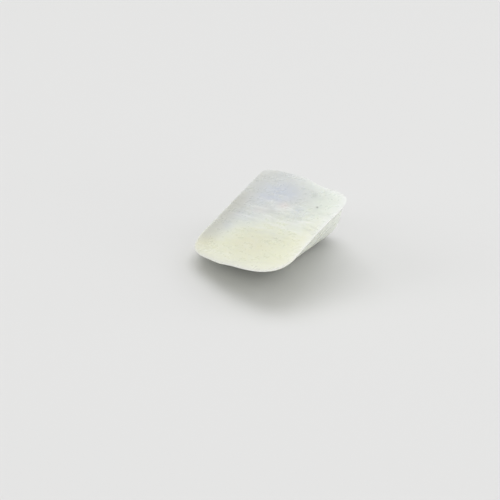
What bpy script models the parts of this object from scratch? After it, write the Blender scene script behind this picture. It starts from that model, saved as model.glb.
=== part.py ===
"""Rough moonstone: one small, water-smooth cleavage piece of milky feldspar.

The stone is a sheared block with rounded corners. Its top is one flat cleavage
face, a parallelogram with soft corners, tilted down to the left. On the right
and in front the face's rim overhangs the side as a narrow lip. Below the rim the
sides run down and in to a rounded belly, which is set back behind the face, and
the belly ends in a small flat spot that the stone rests on.

Units are metres. X is to the right, Y is away from the viewer, Z is up.
The origin is on the resting plane, under the middle of the stone's box.

The four corners are always listed in the order left, back, right, front, and the
four edges in the order left to back, back to right, right to front, front to left.
"""
import math

import bmesh
import bpy
import numpy as np

MM = 0.001

# ---- driving dimensions (millimetres) -------------------------------------
# The flat top face: its plane and its four virtual corners in plan.
FACE_HEIGHT = 4.11          # height of the face's plane over the datum point
FACE_RISE_RIGHT = 0.404     # rise of the plane per mm to the right
FACE_RISE_BACK = 0.03       # rise of the plane per mm to the back
FACE_LEFT = (-6.5, -3.57)
FACE_BACK = (1.67, 10.35)
FACE_RIGHT = (10.05, -5.43)
FACE_FRONT = (2.18, -18.37)
FACE_CUTS = ((4.4, 3.7), (1.7, 7.9), (3.4, 2.6), (3.9, 8.0))
FACE_BOWS = (0.0, -0.14, -0.12, 0.1)
RIM_RADIUS = (0.3, 0.65, 0.35, 0.35)    # rounding of the rim along each edge

# The lip: how far the side starts in from the rim at each corner, and how deep.
LIP_INSET = (0.0, 0.0, 0.7, 0.7)
LIP_DEPTH = 0.36
LIP_SHARE = 0.12            # the part of a side's height steps that the lip takes

# The lower corners of the block that the sides run towards.
LOW_LEFT = (-5.65, -0.27, 0.0)
LOW_BACK = (1.8, 11.1, 1.0)
LOW_RIGHT = (9.7, 4.9, 0.57)
LOW_FRONT = (2.2, -5.8, 0.15)
LOW_CUTS = ((2.4, 2.4), (4.5, 4.5), (3.0, 3.0), (3.2, 3.2))
LOW_BOWS = (0.2, 0.5, 0.2, 0.2)
BELLY_FULLNESS = (2.0, 1.6, 2.0, 1.45)  # how far the belly fills each corner

# The flat spot that the stone rests on.
SPOT_LEFT = (-0.8, -0.8, 0.0)
SPOT_BACK = (1.6, 2.8, 0.0)
SPOT_RIGHT = (5.4, 2.0, 0.0)
SPOT_FRONT = (2.5, -4.4, 0.0)
SPOT_CUTS = ((1.4, 1.4), (1.4, 1.4), (1.4, 1.4), (1.4, 1.4))
SPOT_BOWS = (0.1, 0.1, 0.1, 0.1)

# ---- mesh density -----------------------------------------------------------
EDGE_POINTS = 9
CORNER_POINTS = 7
RIM_STEPS = 4
SIDE_STEPS = 13


def unit(v):
    return v / np.linalg.norm(v)


def face_point(xy):
    """A point in plan, lifted on to the plane of the top face."""
    return np.array((xy[0], xy[1],
                     FACE_HEIGHT + FACE_RISE_RIGHT * xy[0] + FACE_RISE_BACK * xy[1]))


def rounded_quad(corners, cuts, bows):
    """A closed outline: four bowed edges joined by rounded corners."""
    mid = sum(corners) / 4.0
    normal = unit(np.cross(corners[1] - corners[0], corners[3] - corners[0]))
    ends = []
    for i in range(4):
        a, b = corners[i], corners[(i + 1) % 4]
        along = unit(b - a)
        ends.append((a + along * cuts[i][1], b - along * cuts[(i + 1) % 4][0]))
    points = []
    for i in range(4):
        before = ends[i - 1][1]
        start, stop = ends[i]
        for k in range(CORNER_POINTS):
            t = k / CORNER_POINTS
            points.append((1 - t) ** 2 * before + 2 * t * (1 - t) * corners[i] + t * t * start)
        outward = np.cross(unit(stop - start), normal)
        if np.dot(outward, (start + stop) / 2 - mid) < 0:
            outward = -outward
        for k in range(EDGE_POINTS):
            t = k / EDGE_POINTS
            points.append(start + (stop - start) * t + outward * bows[i] * 4 * t * (1 - t))
    return np.array(points)


def eased(t):
    return t * t * (3 - 2 * t)


def by_corner(values):
    """One value per outline point: constant round a corner, eased along an edge."""
    out = []
    for i in range(4):
        out += [values[i]] * CORNER_POINTS
        for k in range(EDGE_POINTS):
            s = eased(k / EDGE_POINTS)
            out.append(values[i] * (1 - s) + values[(i + 1) % 4] * s)
    return out


def by_edge(values):
    """One value per outline point: constant along an edge, eased round a corner."""
    out = []
    for i in range(4):
        for k in range(CORNER_POINTS):
            s = eased(k / CORNER_POINTS)
            out.append(values[i - 1] * (1 - s) + values[i] * s)
        out += [values[i]] * EDGE_POINTS
    return out


def side_point(rim, top, low, spot, share, fullness, t):
    """From the rim (t=0) under the lip, then round the belly to the spot (t=1)."""
    if t < share:
        return rim + (top - rim) * (t / share)
    s = (t - share) / (1 - share)
    w = 2 * fullness * s * (1 - s)
    return ((1 - s) ** 2 * top + w * low + s * s * spot) / ((1 - s) ** 2 + w + s * s)


def stone_columns():
    rims = rounded_quad([face_point(p) for p in (FACE_LEFT, FACE_BACK, FACE_RIGHT, FACE_FRONT)],
                        FACE_CUTS, FACE_BOWS)
    lows = rounded_quad([np.array(p) for p in (LOW_LEFT, LOW_BACK, LOW_RIGHT, LOW_FRONT)],
                        LOW_CUTS, LOW_BOWS)
    spots = rounded_quad([np.array(p) for p in (SPOT_LEFT, SPOT_BACK, SPOT_RIGHT, SPOT_FRONT)],
                         SPOT_CUTS, SPOT_BOWS)
    radii, insets, fullnesses = by_edge(RIM_RADIUS), by_corner(LIP_INSET), by_corner(BELLY_FULLNESS)
    face_normal = unit(np.array((-FACE_RISE_RIGHT, -FACE_RISE_BACK, 1.0)))
    middle = rims.mean(axis=0)
    columns = []
    for rim, low, spot, radius, inset, fullness in zip(rims, lows, spots, radii, insets, fullnesses):
        inward = unit(middle - rim)
        lip = min(inset / LIP_DEPTH, 1.0)
        top = rim + inward * inset - face_normal * LIP_DEPTH * lip
        share = LIP_SHARE * lip
        on_face = rim + inward * radius
        start = 0.0
        while np.linalg.norm(side_point(rim, top, low, spot, share, fullness, start) - rim) < radius:
            start += 0.0025
        on_side = side_point(rim, top, low, spot, share, fullness, start)
        column = []
        for k in range(RIM_STEPS):
            t = k / RIM_STEPS
            column.append((1 - t) ** 2 * on_face + 2 * t * (1 - t) * rim + t * t * on_side)
        for k in range(SIDE_STEPS + 1):
            t = start + (1 - start) * k / SIDE_STEPS
            column.append(side_point(rim, top, low, spot, share, fullness, t))
        columns.append(column)
    return np.array(columns)


def make_stone():
    columns = stone_columns()
    count, levels, _ = columns.shape
    low, high = columns.reshape(-1, 3).min(axis=0), columns.reshape(-1, 3).max(axis=0)
    origin = np.array(((low[0] + high[0]) / 2, (low[1] + high[1]) / 2, low[2]))
    columns = (columns - origin) * MM

    bm = bmesh.new()
    grid = [[bm.verts.new(columns[i, j]) for j in range(levels)] for i in range(count)]
    for i in range(count):
        k = (i + 1) % count
        for j in range(levels - 1):
            bm.faces.new((grid[i][j], grid[i][j + 1], grid[k][j + 1], grid[k][j]))
    bm.faces.new([grid[i][0] for i in range(count)])
    bm.faces.new([grid[i][levels - 1] for i in reversed(range(count))])
    bmesh.ops.recalc_face_normals(bm, faces=bm.faces)
    if bm.calc_volume(signed=True) < 0:
        bmesh.ops.reverse_faces(bm, faces=bm.faces)

    mesh = bpy.data.meshes.new("moonstone")
    bm.to_mesh(mesh)
    bm.free()
    mesh.shade_smooth()
    mesh.set_sharp_from_angle(angle=math.radians(40))
    stone = bpy.data.objects.new("moonstone", mesh)
    bpy.context.scene.collection.objects.link(stone)

    milky = bpy.data.materials.new("milky_feldspar")
    milky.use_nodes = True
    shader = milky.node_tree.nodes["Principled BSDF"]
    shader.inputs["Base Color"].default_value = (0.72, 0.74, 0.66, 1.0)
    shader.inputs["Roughness"].default_value = 0.22
    shader.inputs["Metallic"].default_value = 0.0
    mesh.materials.append(milky)
    return stone


for old in list(bpy.data.objects):
    bpy.data.objects.remove(old, do_unlink=True)
make_stone()
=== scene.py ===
"""Looks of the rough moonstone: the fine surface of the stone and its milky, waxy, faintly blue material.

Lengths inside the shape functions are millimetres, in the frame of the resting plane. One shift, the same as
in the solid, puts the stone's origin under the middle of its box. Corners are listed left, back, right, front.
"""

import math

import bmesh
import bpy
import numpy as np
from mathutils import Matrix, Vector, kdtree, noise


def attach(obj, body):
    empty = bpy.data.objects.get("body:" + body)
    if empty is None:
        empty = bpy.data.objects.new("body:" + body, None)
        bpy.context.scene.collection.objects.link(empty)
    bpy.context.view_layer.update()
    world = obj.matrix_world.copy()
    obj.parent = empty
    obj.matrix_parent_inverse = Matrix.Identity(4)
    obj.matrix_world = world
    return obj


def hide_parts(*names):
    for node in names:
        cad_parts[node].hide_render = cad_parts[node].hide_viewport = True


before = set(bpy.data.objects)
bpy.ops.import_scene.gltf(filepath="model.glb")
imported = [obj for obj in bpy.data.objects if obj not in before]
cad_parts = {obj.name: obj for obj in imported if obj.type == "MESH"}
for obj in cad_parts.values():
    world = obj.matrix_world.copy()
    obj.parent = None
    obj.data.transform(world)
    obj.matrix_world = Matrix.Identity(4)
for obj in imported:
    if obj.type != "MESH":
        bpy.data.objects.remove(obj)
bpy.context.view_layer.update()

MM = 0.001

# ---- the solid's driving dimensions, repeated -------------------------------
FACE_HEIGHT = 4.11
FACE_RISE_RIGHT = 0.404
FACE_RISE_BACK = 0.03
FACE_LEFT = (-6.5, -3.57)
FACE_BACK = (1.67, 10.35)
FACE_RIGHT = (10.05, -5.43)
FACE_FRONT = (2.18, -18.37)
FACE_CUTS = ((4.4, 3.7), (1.7, 7.9), (3.4, 2.6), (3.9, 8.0))
FACE_BOWS = (0.0, -0.14, -0.12, 0.1)
RIM_RADIUS = (0.3, 0.65, 0.35, 0.35)
LIP_INSET = (0.0, 0.0, 0.7, 0.7)
LIP_DEPTH = 0.36
LIP_SHARE = 0.12
LOW_LEFT = (-5.65, -0.27, 0.0)
LOW_BACK = (1.8, 11.1, 1.0)
LOW_RIGHT = (9.7, 4.9, 0.57)
LOW_FRONT = (2.2, -5.8, 0.15)
LOW_CUTS = ((2.4, 2.4), (4.5, 4.5), (3.0, 3.0), (3.2, 3.2))
LOW_BOWS = (0.2, 0.5, 0.2, 0.2)
BELLY_FULLNESS = (2.0, 1.6, 2.0, 1.45)
SPOT_LEFT = (-0.8, -0.8, 0.0)
SPOT_BACK = (1.6, 2.8, 0.0)
SPOT_RIGHT = (5.4, 2.0, 0.0)
SPOT_FRONT = (2.5, -4.4, 0.0)
SPOT_CUTS = ((1.4, 1.4), (1.4, 1.4), (1.4, 1.4), (1.4, 1.4))
SPOT_BOWS = (0.1, 0.1, 0.1, 0.1)

COARSE = (9, 7, 4, 13)          # the solid's own density: edge, corner, rim and side steps
FINE = (78, 44, 8, 84)          # the density of the finished surface
FACE_RINGS = 74
SPOT_RINGS = 8


def unit(v):
    return v / np.linalg.norm(v)


def face_point(xy):
    return np.array((xy[0], xy[1],
                     FACE_HEIGHT + FACE_RISE_RIGHT * xy[0] + FACE_RISE_BACK * xy[1]))


def rounded_quad(corners, cuts, bows, edge_points, corner_points):
    """A closed outline: four bowed edges joined by rounded corners."""
    mid = sum(corners) / 4.0
    normal = unit(np.cross(corners[1] - corners[0], corners[3] - corners[0]))
    ends = []
    for i in range(4):
        a, b = corners[i], corners[(i + 1) % 4]
        along = unit(b - a)
        ends.append((a + along * cuts[i][1], b - along * cuts[(i + 1) % 4][0]))
    points = []
    for i in range(4):
        before = ends[i - 1][1]
        start, stop = ends[i]
        for k in range(corner_points):
            t = k / corner_points
            points.append((1 - t) ** 2 * before + 2 * t * (1 - t) * corners[i] + t * t * start)
        outward = np.cross(unit(stop - start), normal)
        if np.dot(outward, (start + stop) / 2 - mid) < 0:
            outward = -outward
        for k in range(edge_points):
            t = k / edge_points
            points.append(start + (stop - start) * t + outward * bows[i] * 4 * t * (1 - t))
    return np.array(points)


def eased(t):
    return t * t * (3 - 2 * t)


def by_corner(values, edge_points, corner_points):
    """One value per outline point: constant round a corner, eased along an edge."""
    out = []
    for i in range(4):
        out += [values[i]] * corner_points
        for k in range(edge_points):
            s = eased(k / edge_points)
            out.append(values[i] * (1 - s) + values[(i + 1) % 4] * s)
    return np.array(out)


def by_edge(values, edge_points, corner_points):
    """One value per outline point: constant along an edge, eased round a corner."""
    out = []
    for i in range(4):
        for k in range(corner_points):
            s = eased(k / corner_points)
            out.append(values[i - 1] * (1 - s) + values[i] * s)
        out += [values[i]] * edge_points
    return np.array(out)


def side_point(rim, top, low, spot, share, fullness, t):
    if t < share:
        return rim + (top - rim) * (t / share)
    s = (t - share) / (1 - share)
    w = 2 * fullness * s * (1 - s)
    return ((1 - s) ** 2 * top + w * low + s * s * spot) / ((1 - s) ** 2 + w + s * s)


FACE_NORMAL = unit(np.array((-FACE_RISE_RIGHT, -FACE_RISE_BACK, 1.0)))
FACE_CORNERS = [face_point(p) for p in (FACE_LEFT, FACE_BACK, FACE_RIGHT, FACE_FRONT)]


def stone_columns(density):
    """Columns of points from the face's rim down to the resting spot, and the rim and crease lines."""
    edge_points, corner_points, rim_steps, side_steps = density
    n = (edge_points, corner_points)
    rims = rounded_quad(FACE_CORNERS, FACE_CUTS, FACE_BOWS, *n)
    lows = rounded_quad([np.array(p) for p in (LOW_LEFT, LOW_BACK, LOW_RIGHT, LOW_FRONT)],
                        LOW_CUTS, LOW_BOWS, *n)
    spots = rounded_quad([np.array(p) for p in (SPOT_LEFT, SPOT_BACK, SPOT_RIGHT, SPOT_FRONT)],
                         SPOT_CUTS, SPOT_BOWS, *n)
    radii, insets = by_edge(RIM_RADIUS, *n), by_corner(LIP_INSET, *n)
    fullnesses = by_corner(BELLY_FULLNESS, *n)
    middle = rims.mean(axis=0)
    columns, creases = [], []
    for rim, low, spot, radius, inset, fullness in zip(rims, lows, spots, radii, insets, fullnesses):
        inward = unit(middle - rim)
        lip = min(inset / LIP_DEPTH, 1.0)
        top = rim + inward * inset - FACE_NORMAL * LIP_DEPTH * lip
        share = LIP_SHARE * lip
        on_face = rim + inward * radius
        start = 0.0
        while np.linalg.norm(side_point(rim, top, low, spot, share, fullness, start) - rim) < radius:
            start += 0.0025
        on_side = side_point(rim, top, low, spot, share, fullness, start)
        column = []
        for k in range(rim_steps):
            t = k / rim_steps
            column.append((1 - t) ** 2 * on_face + 2 * t * (1 - t) * rim + t * t * on_side)
        for k in range(side_steps + 1):
            t = start + (1 - start) * k / side_steps
            column.append(side_point(rim, top, low, spot, share, fullness, t))
        columns.append(column)
        creases.append(top)
    return np.array(columns), rims, np.array(creases), insets


coarse = stone_columns(COARSE)[0].reshape(-1, 3)
ORIGIN = np.array(((coarse[:, 0].min() + coarse[:, 0].max()) / 2,
                   (coarse[:, 1].min() + coarse[:, 1].max()) / 2, coarse[:, 2].min()))


# ---- the camera: low, in front, a long way off -------------------------------
DOWN = math.radians(22.15)      # how far the camera looks down
LEAN = math.radians(0.355)      # the picture leans this much
DISTANCE = 549.2                # mm from the point of the resting plane in the picture's middle
FOCAL_PX = 5696.6               # focal length in pixels of a 500 pixel picture

look = np.array((0.0, math.cos(DOWN), -math.sin(DOWN)))
above = np.array((0.0, math.sin(DOWN), math.cos(DOWN)))
right = np.array((1.0, 0.0, 0.0))
cam_right = right * math.cos(LEAN) + above * math.sin(LEAN)
cam_up = above * math.cos(LEAN) - right * math.sin(LEAN)
cam_at = (-look * DISTANCE - ORIGIN) * MM

camera_data = bpy.data.cameras.new("camera")
camera_data.sensor_fit = "HORIZONTAL"
camera_data.sensor_width = 36.0
camera_data.lens = FOCAL_PX / 500.0 * 36.0
camera_data.shift_x = -0.5 / 500.0      # the picture's middle lies half a pixel off, right and down
camera_data.shift_y = 0.5 / 500.0
camera_data.clip_start = 0.01
camera_data.clip_end = 20.0
camera = bpy.data.objects.new("camera", camera_data)
bpy.context.scene.collection.objects.link(camera)
camera.matrix_world = Matrix((
    (cam_right[0], cam_up[0], -look[0], cam_at[0]),
    (cam_right[1], cam_up[1], -look[1], cam_at[1]),
    (cam_right[2], cam_up[2], -look[2], cam_at[2]),
    (0, 0, 0, 1)))
bpy.context.scene.camera = camera


# ---- the stone's fine surface -------------------------------------------------
def smooth(x):
    x = np.clip(x, 0.0, 1.0)
    return x * x * (3 - 2 * x)


def ripple(points, size, seed, octaves=2):
    """Smooth seeded noise, about -1 to 1, with features of the given size in mm."""
    offset = Vector((seed * 7.13, seed * 3.71, seed * 5.39))
    out = np.empty(len(points))
    for i, p in enumerate(points):
        q = Vector(p) / size + offset
        value, gain = 0.0, 1.0
        for _ in range(octaves):
            value += gain * noise.noise(q)
            q = q * 2.03
            gain *= 0.5
        out[i] = value
    return out


def nearest(points, line):
    """Distance in mm from each point to the nearest of a line's points, and which that is."""
    tree = kdtree.KDTree(len(line))
    for i, p in enumerate(line):
        tree.insert(p, i)
    tree.balance()
    found = [tree.find(p) for p in points]
    return np.array([f[2] for f in found]), np.array([f[1] for f in found])


columns, rims, creases, insets = stone_columns(FINE)
count, levels, _ = columns.shape
# The crease under the lip and the kinks between edges and corners are worn soft.
rim_steps = FINE[2]
worn = columns.copy()
for _ in range(14):
    sides = worn[:, rim_steps:-1]
    inner = 0.5 * sides + 0.25 * (worn[:, rim_steps - 1:-2] + worn[:, rim_steps + 1:])
    fade = np.ones(sides.shape[1])
    fade[-6:] = np.linspace(1, 0, 6)
    worn[:, rim_steps:-1] = sides + (inner - sides) * fade[None, :, None]
for _ in range(24):
    around =0.5 * worn + 0.25 * (np.roll(worn, 1, axis=0) + np.roll(worn, -1, axis=0))
    around[:, -1] = worn[:, -1]
    worn = around
columns = worn

# Axes of the cleavage: along the face's left-front edge, across it, and out of the face.
ALONG = unit(FACE_CORNERS[3] - FACE_CORNERS[0])
ACROSS = unit(np.cross(FACE_NORMAL, ALONG))
if np.dot(ACROSS, FACE_CORNERS[1] - FACE_CORNERS[0]) < 0:
    ACROSS = -ACROSS

verts = [columns.reshape(-1, 3)]
faces = []
for i in range(count):
    k = (i + 1) % count
    for j in range(levels - 1):
        faces.append((i * levels + j, i * levels + j + 1, k * levels + j + 1, k * levels + j))


def fill(ring, rings):
    """Rings of quads from an outline to its middle."""
    base = sum(len(v) for v in verts)
    outline = columns.reshape(-1, 3)[ring]
    centre = outline.mean(axis=0)
    previous = list(ring)
    for r in range(1, rings):
        verts.append(centre + (outline - centre) * (1 - r / rings))
        current = [base + (r - 1) * count + i for i in range(count)]
        for i in range(count):
            k = (i + 1) % count
            faces.append((previous[i], previous[k], current[k], current[i]))
        previous = current
    verts.append(centre[None, :])
    last = base + (rings - 1) * count
    for i in range(count):
        faces.append((previous[i], previous[(i + 1) % count], last))


fill([i * levels for i in range(count)], FACE_RINGS)
fill([i * levels + levels - 1 for i in range(count)], SPOT_RINGS)
points = np.concatenate(verts)

bm = bmesh.new()
made = [bm.verts.new(p) for p in points]
for f in faces:
    bm.faces.new([made[i] for i in f])
bmesh.ops.recalc_face_normals(bm, faces=bm.faces)
if bm.calc_volume(signed=True) < 0:
    bmesh.ops.reverse_faces(bm, faces=bm.faces)
bm.normal_update()
normals = np.array([v.normal[:] for v in bm.verts])

depth = -((points - FACE_CORNERS[0]) @ FACE_NORMAL)        # mm below the face's plane
a_axis, c_axis = (points - FACE_CORNERS[0]) @ ALONG, (points - FACE_CORNERS[0]) @ ACROSS
face_part = smooth(1.0 - depth / 0.35)
rim_far, rim_which = nearest(points, rims)
crease_far, crease_which = nearest(points, creases)
left_edge = FACE_CORNERS[1] - FACE_CORNERS[0]
from_left = np.linalg.norm(np.cross(points - FACE_CORNERS[0], unit(left_edge)), axis=1)

# Broad unevenness, more on the belly than on the cleavage face.
belly_part = smooth((depth - 0.4) / 1.8)
lift = (0.015 + 0.075 * belly_part) * ripple(points, 4.5, 1)
lift += (0.004 + 0.014 * belly_part) * ripple(points, 1.5, 2)
lift += 0.002 * ripple(points, 0.45, 3)
# The face is worn down a little towards its rim.
lift -= 0.06 * face_part * np.exp(-rim_far / 0.8)
# Low cleavage steps that run along the face and die out.
stepped = c_axis + 0.35 * ripple(points * 0.6, 2.2, 4)
present = ripple(points, 3.2, 5)
for at, height, seed in ((3.1, 0.022, 1), (5.0, -0.018, 2), (6.4, 0.02, 3), (8.3, 0.024, 4),
                         (9.6, -0.02, 5), (11.4, 0.018, 6), (13.2, 0.02, 7)):
    strength = smooth(0.5 + 1.6 * np.sin(a_axis * 0.42 + seed * 2.1) * 0.5 + present * 0.8)
    lift += face_part * height * strength * (smooth((stepped - at) / 0.16 + 0.5) - 0.5)
# Fine partings parallel to the face show on the sides.
parting = np.sin(depth * 9.0 + 2.5 * ripple(points, 2.6, 6))
lift += 0.006 * (1 - face_part) * smooth(0.5 + ripple(points, 3.0, 7)) * parting

# Small chips on the rim and pits in the face.
rng = np.random.default_rng(11)
chips = []
for _ in range(26):
    i = int(rng.integers(0, count))
    chips.append((rims[i] + unit(rims.mean(axis=0) - rims[i]) * rng.uniform(0.0, 0.12)
                  - FACE_NORMAL * rng.uniform(0.0, 0.2), rng.uniform(0.16, 0.4), rng.uniform(0.006, 0.02)))
for _ in range(60):        # the speckled strip inside the left edge
    t, inset = rng.uniform(0.22, 0.92), rng.uniform(0.35, 1.5)
    chips.append((FACE_CORNERS[0] + left_edge * t + unit(np.cross(left_edge, FACE_NORMAL)) * inset,
                  rng.uniform(0.12, 0.24), rng.uniform(0.006, 0.016)))
for _ in range(16):        # scattered pits on the face
    s, t = rng.uniform(0.1, 0.9), rng.uniform(0.1, 0.9)
    at = FACE_CORNERS[0] + left_edge * s + (FACE_CORNERS[3] - FACE_CORNERS[0]) * t
    chips.append((at, rng.uniform(0.12, 0.26), rng.uniform(0.004, 0.01)))
for _ in range(30):        # and on the belly
    p = points[int(rng.integers(0, count * levels))]
    chips.append((p, rng.uniform(0.2, 0.7), rng.uniform(0.006, 0.022)))
for at, size, deep in chips:
    near = ((points - at) ** 2).sum(axis=1) / size ** 2
    inside = near < 1
    lift[inside] -= deep * (1 - near[inside]) ** 2

lift *= smooth((points[:, 2] - 0.03) / 0.9)
moved = points + normals * lift[:, None]
moved[:, 2] = np.maximum(moved[:, 2], 0.0)
for v, p in zip(bm.verts, (moved - ORIGIN) * MM):
    v.co = p
mesh = bpy.data.meshes.new("stone_surface")
bm.to_mesh(mesh)
bm.free()
mesh.shade_smooth()


def mark(name, values):
    layer = mesh.attributes.new(name, "FLOAT", "POINT")
    layer.data.foreach_set("value", np.asarray(values, dtype=np.float32))


# Closeness to the face's rim: it carries a painted highlight along the rim.
mark("rim", np.exp(-(rim_far / 0.22) ** 2))
lengthwise = smooth((c_axis - 0.5) / 3.5) * (1 - 0.65 * smooth((c_axis - 8.5) / 3.0))
mark("left_band", face_part * smooth((from_left - 0.1) / 0.35) * smooth((4.2 - from_left) / 3.4) * lengthwise)
mark("left_strip", face_part * smooth((from_left - 0.15) / 0.3) * smooth((1.7 - from_left) / 0.9) * lengthwise)
# Closeness to the crease under the lip, off the face: it carries painted shade in that crease.
mark("crease_shade", np.exp(-(crease_far / 0.33) ** 2) * smooth(insets[crease_which] / 0.5) * (1 - face_part))
mark("face_part", face_part)

stone = bpy.data.objects.new("stone_surface", mesh)
bpy.context.scene.collection.objects.link(stone)
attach(stone, "root")
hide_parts("moonstone")


# ---- the milky feldspar ---------------------------------------------------------
def srgb(r, g, b):
    def lin(c):
        c /= 255.0
        return c / 12.92 if c <= 0.04045 else ((c + 0.055) / 1.055) ** 2.4
    return (lin(r), lin(g), lin(b), 1.0)


milky = bpy.data.materials.new("milky_feldspar")
milky.use_nodes = True
tree = milky.node_tree
tree.nodes.clear()


def add(kind, **settings):
    n = tree.nodes.new(kind)
    for key, value in settings.items():
        setattr(n, key, value)
    return n


def put(n, name, value):
    socket = n.inputs[name]
    if isinstance(value, bpy.types.NodeSocket):
        tree.links.new(value, socket)
    else:
        socket.default_value = value
    return n


def calc(op, a, b=0.0, c=0.0, clamp=False):
    n = add("ShaderNodeMath", operation=op, use_clamp=clamp)
    put(n, 0, a)
    put(n, 1, b)
    if op in ("MULTIPLY_ADD", "COMPARE"):
        put(n, 2, c)
    return n.outputs[0]


def blend(a, b, factor, kind="MIX"):
    n = add("ShaderNodeMix", data_type="RGBA", blend_type=kind)
    put(n, 0, factor)
    put(n, 6, a)
    put(n, 7, b)
    return n.outputs[2]


def ramp(value, lo, hi, to_lo=0.0, to_hi=1.0):
    n = add("ShaderNodeMapRange", interpolation_type="SMOOTHSTEP")
    put(n, "Value", value)
    put(n, "From Min", lo)
    put(n, "From Max", hi)
    put(n, "To Min", to_lo)
    put(n, "To Max", to_hi)
    return n.outputs["Result"]


def dot(vector, axis):
    n = add("ShaderNodeVectorMath", operation="DOT_PRODUCT")
    put(n, 0, vector)
    put(n, 1, tuple(float(c) for c in axis))
    return n.outputs["Value"]


def marked(name):
    return add("ShaderNodeAttribute", attribute_name=name, attribute_type="GEOMETRY").outputs["Fac"]


coords = add("ShaderNodeTexCoord")
to_mm = add("ShaderNodeVectorMath", operation="MULTIPLY_ADD")     # mm over the resting plane
put(to_mm, 0, coords.outputs["Object"])
put(to_mm, 1, (1000.0, 1000.0, 1000.0))
put(to_mm, 2, tuple(float(c) for c in ORIGIN))
P = to_mm.outputs[0]

grain = add("ShaderNodeCombineXYZ")                                # mm along, across and into the cleavage
put(grain, 0, dot(P, ALONG))
put(grain, 1, dot(P, ACROSS))
put(grain, 2, dot(P, FACE_NORMAL))
G = grain.outputs[0]

side = dot(P, (1.0, 0.0, 0.0))                                     # mm to the right
rise = dot(P, (0.0, math.sin(DOWN), math.cos(DOWN)))               # mm up and away
below = calc("SUBTRACT", float(np.dot(FACE_CORNERS[0], FACE_NORMAL)), dot(P, FACE_NORMAL))


def field(size, stretch=(1, 1, 1), seed=0.0, detail=3.0, rough=0.55, distort=0.0):
    """3-D noise in the stone, about 0 to 1, with the given feature size in mm along the cleavage axes."""
    m = add("ShaderNodeVectorMath", operation="MULTIPLY_ADD")
    put(m, 0, G)
    put(m, 1, tuple(1.0 / (size * s) for s in stretch))
    put(m, 2, (seed * 13.7, seed * 5.1, seed * 9.3))
    n = add("ShaderNodeTexNoise", noise_dimensions="3D")
    put(n, "Vector", m.outputs[0])
    put(n, "Scale", 1.0)
    put(n, "Detail", detail)
    put(n, "Roughness", rough)
    put(n, "Distortion", distort)
    return n.outputs["Fac"]


def cloud_at(u, v, wide, high, deep=2.5):
    """A soft cloud in the stone under the face, at u mm right and v mm up in the front view."""
    du = calc("MULTIPLY", calc("SUBTRACT", side, u), 1.0 / wide)
    dv = calc("MULTIPLY", calc("SUBTRACT", rise, v), 1.0 / high)
    dd = calc("MULTIPLY", below, 1.0 / deep)
    far = calc("ADD", calc("MULTIPLY", du, du), calc("ADD", calc("MULTIPLY", dv, dv), calc("MULTIPLY", dd, dd)))
    return calc("EXPONENT", calc("MULTIPLY", far, -1.0))


def total(*values):
    out = values[0]
    for v in values[1:]:
        out = calc("ADD", out, v)
    return out


broad = field(4.0, (1.6, 1.0, 1.0), seed=1.0, detail=2.0)
mid = field(1.3, (2.2, 1.0, 1.0), seed=2.0, detail=4.0, rough=0.6, distort=0.4)
fine = field(0.35, (1.6, 1.0, 1.0), seed=3.0, detail=2.0, rough=0.55)
veils = field(0.42, (8.0, 1.0, 1.2), seed=4.0, detail=4.0, rough=0.6, distort=0.6)
threads = field(0.16, (9.0, 1.0, 1.4), seed=5.0, detail=4.0, rough=0.55, distort=0.5)

YELLOW_GREEN = srgb(221, 223, 201)
YELLOW = srgb(216, 214, 187)
PALE = srgb(219, 223, 213)
GREY = srgb(204, 207, 206)
GREENISH_WHITE = srgb(219, 225, 216)
BLUE = srgb(192, 199, 213)
WHITE = srgb(232, 234, 230)
PEACH = srgb(222, 212, 208)
BELLY = srgb(232, 235, 226)

# Painted light: lighter yellow-green low down, a painted glow of light passing through the thin lower part; paler
# across the middle; darker cool grey above, where the painted glow fades; greenish white to the right.
bent = total(rise, calc("MULTIPLY", calc("SUBTRACT", broad, 0.5), 3.4),
             calc("MULTIPLY", calc("SUBTRACT", mid, 0.5), 2.4), calc("MULTIPLY", side, -0.05))
colour = blend(YELLOW_GREEN, PALE, ramp(bent, 1.0, 3.2))
colour = blend(colour, GREY, ramp(bent, 2.6, 5.0, 0.0, 0.95))
colour = blend(colour, srgb(190, 193, 193), calc("MULTIPLY", cloud_at(3.2, 7.6, 1.7, 0.45), 0.55))
colour = blend(colour, GREENISH_WHITE, ramp(calc("ADD", side, calc("MULTIPLY", calc("SUBTRACT", mid, 0.5), 2.5)), 4.0, 8.5, 0.0, 0.9))
colour = blend(colour, BELLY, ramp(below, 0.3, 1.8, 0.0, 0.8))
# Painted glow of light passing through the stone: yellow low on the left and low in the middle.
yellow = total(cloud_at(-4.6, 0.6, 1.1, 1.0), cloud_at(0.0, 0.5, 1.8, 0.9), calc("MULTIPLY", cloud_at(3.4, -1.1, 1.6, 0.5), 0.6))
colour = blend(colour, YELLOW, calc("MULTIPLY", yellow, ramp(mid, 0.25, 0.7, 0.25, 0.75), clamp=True))
# The blue sheen, in a few soft clouds, broken up by the cloudiness.
blue = total(cloud_at(2.7, 5.6, 1.6, 0.9), calc("MULTIPLY", cloud_at(0.4, 5.0, 1.3, 0.5), 0.4),
             calc("MULTIPLY", cloud_at(-0.9, 3.5, 1.5, 0.65), 0.5),
             calc("MULTIPLY", cloud_at(4.4, 3.6, 0.7, 0.7), 0.6), calc("MULTIPLY", cloud_at(-2.3, 2.6, 0.5, 0.45), 0.6))
blue = calc("MULTIPLY", blue, ramp(mid, 0.28, 0.62, 0.35, 1.0))
colour = blend(colour, BLUE, calc("MULTIPLY", blue, 0.9, clamp=True))
colour = blend(colour, PEACH, calc("MULTIPLY", total(cloud_at(3.2, 4.3, 0.5, 0.3), calc("MULTIPLY", cloud_at(0.9, 3.9, 0.9, 0.3), 0.35)), 0.6))
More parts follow.
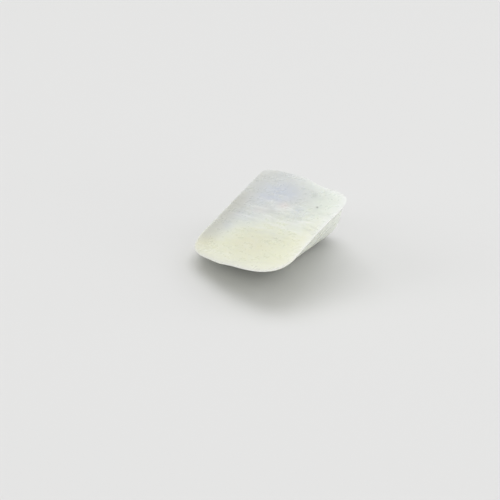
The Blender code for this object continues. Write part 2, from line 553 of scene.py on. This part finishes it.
# White veils along the cleavage across the middle, fainter elsewhere, with darker gaps between.
veil_here = calc("ADD", 0.16, calc("MULTIPLY", total(cloud_at(1.8, 3.4, 3.4, 1.2), calc("MULTIPLY", cloud_at(5.5, 2.4, 1.8, 1.2), 0.8)), 0.65))
colour = blend(colour, WHITE, calc("MULTIPLY", ramp(veils, 0.50, 0.66), veil_here, clamp=True))
colour = blend(colour, srgb(192, 196, 190), calc("MULTIPLY", ramp(veils, 0.47, 0.33), calc("MULTIPLY", veil_here, 0.7), clamp=True))
# Thin dark streaks low in the middle.
streak_here = total(cloud_at(2.1, 0.95, 1.3, 0.42), calc("MULTIPLY", cloud_at(-0.5, -1.0, 2.5, 0.5), 0.3))
colour = blend(colour, srgb(184, 186, 166), calc("MULTIPLY", ramp(threads, 0.52, 0.64), streak_here, clamp=True))
# Cloudiness all through.
colour = blend(colour, srgb(206, 208, 201), ramp(fine, 0.42, 0.75, 0.0, 0.20))
# A darker strip with dark specks inside the left edge, and two single specks.
colour = blend(colour, srgb(184, 184, 174), calc("MULTIPLY", marked("left_band"), 0.70))
specks = ramp(field(0.14, seed=6.0, detail=1.0), 0.56, 0.66)
colour = blend(colour, srgb(160, 163, 154), calc("MULTIPLY", specks, calc("MULTIPLY", marked("left_strip"), 0.35)))
spots = total(calc("MULTIPLY", cloud_at(6.33, 4.15, 0.11, 0.08, 0.4), 0.8), calc("MULTIPLY", cloud_at(6.1, 5.3, 0.30, 0.25, 0.6), 0.2))
colour = blend(colour, srgb(120, 126, 120), spots)
# Painted shade in the crease under the lip, and a painted highlight on the thin rim.
colour = blend(colour, srgb(168, 176, 158), calc("MULTIPLY", marked("crease_shade"), 0.6))
colour = blend(colour, srgb(238, 240, 233), calc("MULTIPLY", marked("rim"), 0.45))

bump = add("ShaderNodeBump")
put(bump, "Strength", 0.1)
put(bump, "Distance", 0.00002)
put(bump, "Height", field(0.4, seed=8.0, detail=1.0))

shader = add("ShaderNodeBsdfPrincipled")
put(shader, "Base Color", colour)
put(shader, "Roughness", ramp(total(mid, calc("MULTIPLY", fine, 0.6)), 0.55, 1.05, 0.22, 0.40))
put(shader, "IOR", 1.52)
put(shader, "Subsurface Weight", 0.85)
put(shader, "Subsurface Radius", (1.0, 0.97, 0.9))
put(shader, "Subsurface Scale", 0.0025)
put(shader, "Normal", bump.outputs["Normal"])
out = add("ShaderNodeOutputMaterial")
tree.links.new(shader.outputs["BSDF"], out.inputs["Surface"])
mesh.materials.append(milky)

# ---- floor and light -----------------------------------------------------------------
FLOOR_GAP = 0.00002
floor_mesh = bpy.data.meshes.new("floor")
floor_mesh.from_pydata([(-3, -3, -FLOOR_GAP), (3, -3, -FLOOR_GAP), (3, 3, -FLOOR_GAP), (-3, 3, -FLOOR_GAP)],
                       [], [(0, 1, 2, 3)])
floor = bpy.data.objects.new("floor", floor_mesh)
bpy.context.scene.collection.objects.link(floor)
pale = bpy.data.materials.new("pale_floor")
pale.use_nodes = True
matt = pale.node_tree.nodes["Principled BSDF"]
matt.inputs["Base Color"].default_value = (0.68, 0.68, 0.675, 1)
matt.inputs["Roughness"].default_value = 0.9
matt.inputs["Specular IOR Level"].default_value = 0.1
floor_mesh.materials.append(pale)

world = bpy.data.worlds.new("studio")
world.use_nodes = True
world.node_tree.nodes["Background"].inputs["Color"].default_value = (1, 1, 1, 1)
world.node_tree.nodes["Background"].inputs["Strength"].default_value = 0.55
bpy.context.scene.world = world


def softbox(name, at, size, power):
    data = bpy.data.lights.new(name, "AREA")
    data.shape = "RECTANGLE"
    data.size, data.size_y = size
    data.energy = power
    lamp = bpy.data.objects.new(name, data)
    bpy.context.scene.collection.objects.link(lamp)
    lamp.location = at
    lamp.rotation_mode = "QUATERNION"
    lamp.rotation_quaternion = (-Vector(at)).to_track_quat("-Z", "Y")
    return lamp


softbox("overhead", (0.0, 0.05, 0.5), (0.6, 0.6), 1.6)
softbox("left", (-0.45, -0.1, 0.25), (0.3, 0.4), 0.5)
softbox("right", (0.45, 0.1, 0.25), (0.3, 0.4), 0.5)
softbox("low_front", (0.36, -0.34, 0.07), (0.4, 0.12), 0.45)

bpy.context.scene.view_settings.view_transform = "Standard"
bpy.context.scene.view_settings.look = "None"
